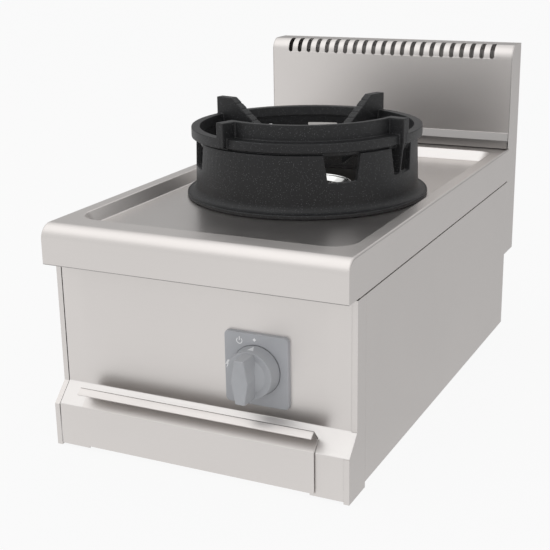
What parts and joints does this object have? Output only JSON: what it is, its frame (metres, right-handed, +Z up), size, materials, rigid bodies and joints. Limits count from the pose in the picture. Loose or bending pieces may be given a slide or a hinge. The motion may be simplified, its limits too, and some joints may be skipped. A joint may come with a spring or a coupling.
{
  "type": "countertop gas wok range",
  "caption": "Countertop gas wok range: steel body with pressed well and slotted flue riser, cast-iron wok stand over a burner, push-turn knob, sliding drip tray.",
  "frame": {"origin": "on the bench, under the middle of the whole object's box", "axes": "+X to the cook's right, +Y away from the cook, +Z up; the knob and the tray's grip face -Y"},
  "size_m": [0.4, 0.725, 0.446],
  "materials": {
    "stainless": "satin stainless sheet, warm grey",
    "inner_steel": "galvanised, dull",
    "polished_steel": "polished stainless",
    "cast_iron": "matt black enamelled casting with fine light specks",
    "burner_iron": "bare grey casting",
    "brass": "machined brass",
    "copper": "drawn copper tube",
    "bezel_plastic": "satin grey moulding with white marks",
    "knob_plastic": "satin grey moulding",
    "black_plastic": "black moulding",
    "rubber": "black rubber",
    "ceramic": "white glazed ceramic"
  },
  "bodies": {
    "chassis": {"worktop": "stainless", "spill_collar": "polished_steel", "side_panel_left": "stainless", "side_panel_right": "stainless", "pillar_left": "stainless", "pillar_right": "stainless", "control_panel": "stainless", "back_panel": "stainless", "cross_members": "inner_steel", "rear_feet": "rubber", "riser_front": "stainless", "riser_back": "stainless", "riser_end_left": "stainless", "riser_end_right": "stainless", "tray_runner_left": "inner_steel", "tray_runner_right": "inner_steel", "bezel": "bezel_plastic", "valve_body": "brass", "valve_screws": "inner_steel", "gas_inlet": "brass", "supply_pipe": "copper", "feed_pipe": "copper", "pipe_nuts": "brass", "injector": "brass", "injector_bracket": "inner_steel", "mixing_tube": "burner_iron", "burner_cup": "burner_iron", "burner_bars": "inner_steel", "flame_ring": "burner_iron", "pilot_burner": "brass", "pilot_pipe": "copper", "pilot_plate": "inner_steel", "thermocouple": "copper", "spark_electrode": "ceramic", "spark_lead": "black_plastic", "igniter_unit": "black_plastic", "back_screws": "inner_steel", "riser_screws": "inner_steel"},
    "valve_rotor": {"valve_plug": "brass"},
    "knob_group": {"knob": "knob_plastic", "valve_spindle": "brass"},
    "tray": {"drip_tray": "stainless", "tray_front": "stainless"},
    "stand": {"wok_stand": "cast_iron"},
    "cap": {"burner_cap": "polished_steel"},
    "shutter": {"air_shutter": "inner_steel"}
  },
  "joints": [
    {"name": "knob_turn", "type": "hinge", "parent": "chassis", "child": "valve_rotor", "pos_m": [0.0765, -0.2795, 0.138], "axis": [0, -1, 0], "range_deg": [0, 180]},
    {"name": "knob_push", "type": "slide", "parent": "valve_rotor", "child": "knob_group", "axis": [0, 1, 0], "range_m": [0, 0.004], "stiffness_N_per_m": 1200, "springref_m": -0.003},
    {"name": "tray_slide", "type": "slide", "parent": "chassis", "child": "tray", "axis": [0, -1, 0], "range_m": [0, 0.42]},
    {"name": "stand_lift", "type": "slide", "parent": "chassis", "child": "stand", "axis": [0, 0, 1], "range_m": [0, 0.15]},
    {"name": "cap_lift", "type": "slide", "parent": "chassis", "child": "cap", "axis": [0, 0, 1], "range_m": [0, 0.05]},
    {"name": "shutter_turn", "type": "hinge", "parent": "chassis", "child": "shutter", "pos_m": [0, -0.2175, 0.236], "axis": [0, 1, 0], "range_deg": [0, 60]}
  ]
}
